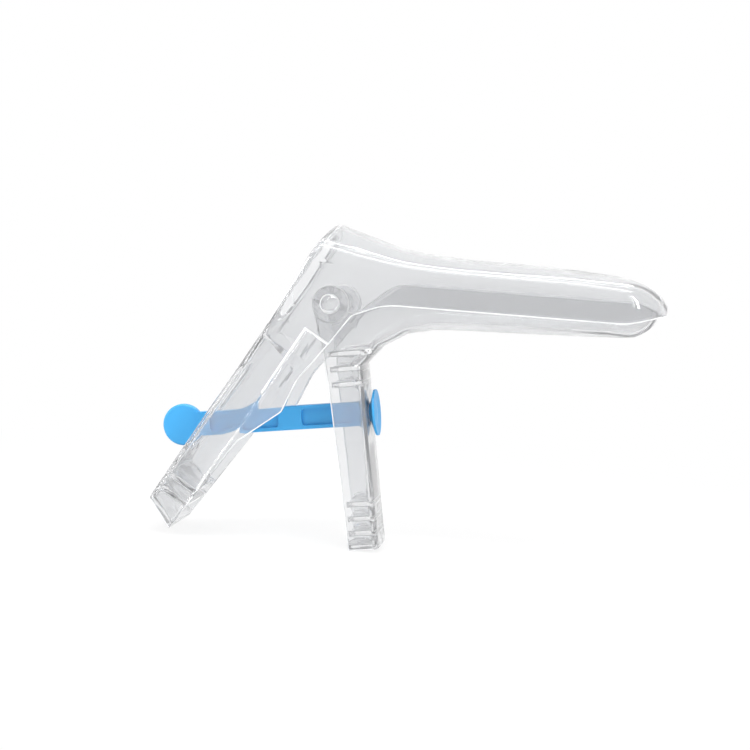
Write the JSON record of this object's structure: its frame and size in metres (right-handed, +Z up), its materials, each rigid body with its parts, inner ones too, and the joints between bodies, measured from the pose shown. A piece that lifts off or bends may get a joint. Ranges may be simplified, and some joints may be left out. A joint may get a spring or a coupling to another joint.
{
  "type": "bivalve speculum",
  "caption": "Clear plastic bivalve speculum with two nested blades, a funnel mouth, two channel handles and a blue turning bar that holds the blades apart.",
  "frame": {"origin": "middle of the bounding box in plan, at its lowest level", "axes": "+X along the closed blades towards their tip, +Y across the blades, +Z up from the handles to the mouth"},
  "size_m": [0.1772, 0.0392, 0.1152],
  "materials": {
    "clear_plastic": "clear glossy moulded polystyrene, density close to 1.05 g per cubic cm",
    "blue_plastic": "opaque light blue moulded plastic, satin gloss"
  },
  "bodies": {
    "upper": {"upper_valve": "clear_plastic"},
    "lower": {"lower_valve": "clear_plastic"},
    "bar": {"locking_bar": "blue_plastic", "retaining_disc": "blue_plastic"}
  },
  "joints": [
    {"name": "blade_hinge", "type": "hinge", "parent": "upper", "child": "lower", "pos_m": [-0.02756, 0, 0.08736], "axis": [0, 1, 0], "range_deg": [0, 30]},
    {"name": "bar_twist", "type": "hinge", "parent": "lower", "child": "bar", "pos_m": [-0.01438, 0, 0.04863], "axis": [0.9882, 0, 0.153], "range_deg": [0, 90]}
  ]
}
